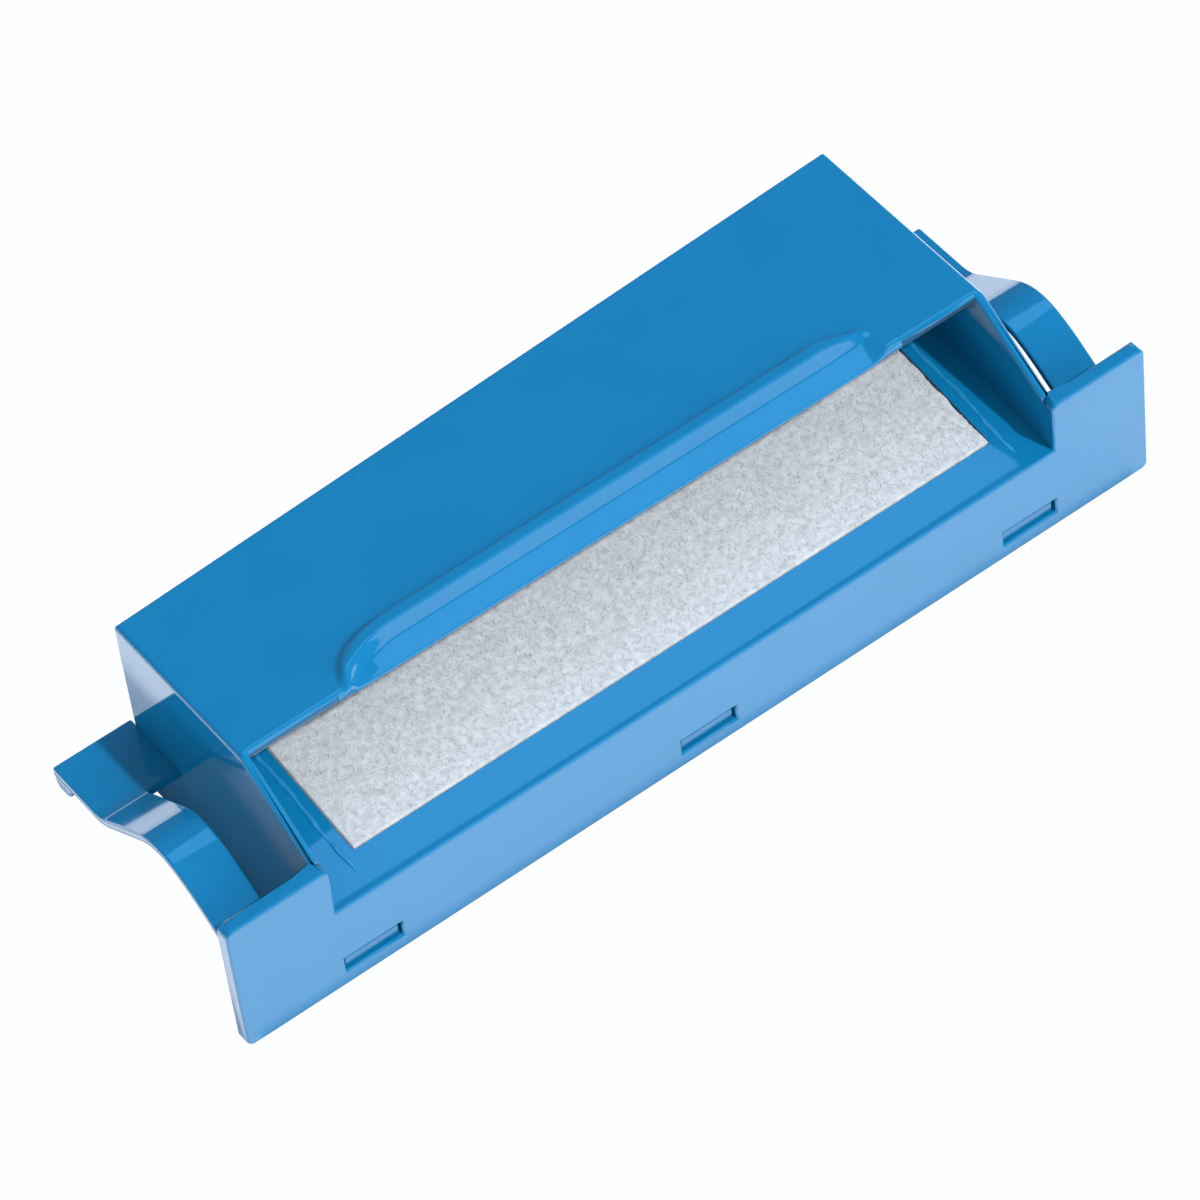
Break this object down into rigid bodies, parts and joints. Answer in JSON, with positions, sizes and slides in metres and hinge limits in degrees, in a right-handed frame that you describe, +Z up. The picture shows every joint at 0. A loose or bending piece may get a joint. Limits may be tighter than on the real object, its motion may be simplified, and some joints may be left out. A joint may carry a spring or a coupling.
{
  "type": "slide-in filter cassette",
  "caption": "Slide-in blue plastic filter cassette: a fibre pad shows in a long window under a hood with a finger lip, sprung guide arms and eared front plate.",
  "frame": {"origin": "centre of the footprint, at the height of the front plate's lower edge, on which the cassette rests", "axes": "+X along the length to the right as seen from the front, +Y from the front plate to the rear wall, +Z up"},
  "size_m": [0.165, 0.055, 0.0375],
  "materials": {
    "shell_plastic": "bright blue moulded plastic, polished on the end walls, very faint grain on the roof",
    "grid_plastic": "blue moulded plastic, satin",
    "pad_fibre": "loose white synthetic wadding with glossy fibres",
    "net_fabric": "fine grey woven net",
    "glue": "clear hot-melt glue over blue plastic, wavy and glossy"
  },
  "bodies": {
    "cassette": {"front_plate": "shell_plastic", "hood_roof": "shell_plastic", "left_end_wall": "shell_plastic", "right_end_wall": "shell_plastic", "rear_wall": "shell_plastic", "window_panel": "shell_plastic", "left_guide_flange": "shell_plastic", "right_guide_flange": "shell_plastic", "filter_pad": "pad_fibre", "backing_net": "net_fabric", "pad_grid": "grid_plastic", "left_glue_bead": "glue", "right_glue_bead": "glue"},
    "left_arm": {"left_spring_arm": "shell_plastic"},
    "right_arm": {"right_spring_arm": "shell_plastic"},
    "left_finger": {"left_catch": "grid_plastic"},
    "middle_finger": {"middle_catch": "grid_plastic"},
    "right_finger": {"right_catch": "grid_plastic"}
  },
  "joints": [
    {"name": "left_arm_flex", "type": "hinge", "parent": "cassette", "child": "left_arm", "pos_m": [-0.076, 0.0105, 0.0126], "axis": [1, 0, 0], "range_deg": [0, 6], "stiffness_Nm_per_rad": 0.05},
    {"name": "right_arm_flex", "type": "hinge", "parent": "cassette", "child": "right_arm", "pos_m": [0.076, 0.0105, 0.0126], "axis": [1, 0, 0], "range_deg": [0, 6], "stiffness_Nm_per_rad": 0.05},
    {"name": "left_catch_flex", "type": "hinge", "parent": "cassette", "child": "left_finger", "pos_m": [-0.06, -0.0241, 0.0132], "axis": [1, 0, 0], "range_deg": [0, 11], "stiffness_Nm_per_rad": 0.004},
    {"name": "middle_catch_flex", "type": "hinge", "parent": "cassette", "child": "middle_finger", "pos_m": [0, -0.0241, 0.0132], "axis": [1, 0, 0], "range_deg": [0, 11], "stiffness_Nm_per_rad": 0.004},
    {"name": "right_catch_flex", "type": "hinge", "parent": "cassette", "child": "right_finger", "pos_m": [0.06, -0.0241, 0.0132], "axis": [1, 0, 0], "range_deg": [0, 11], "stiffness_Nm_per_rad": 0.004}
  ]
}
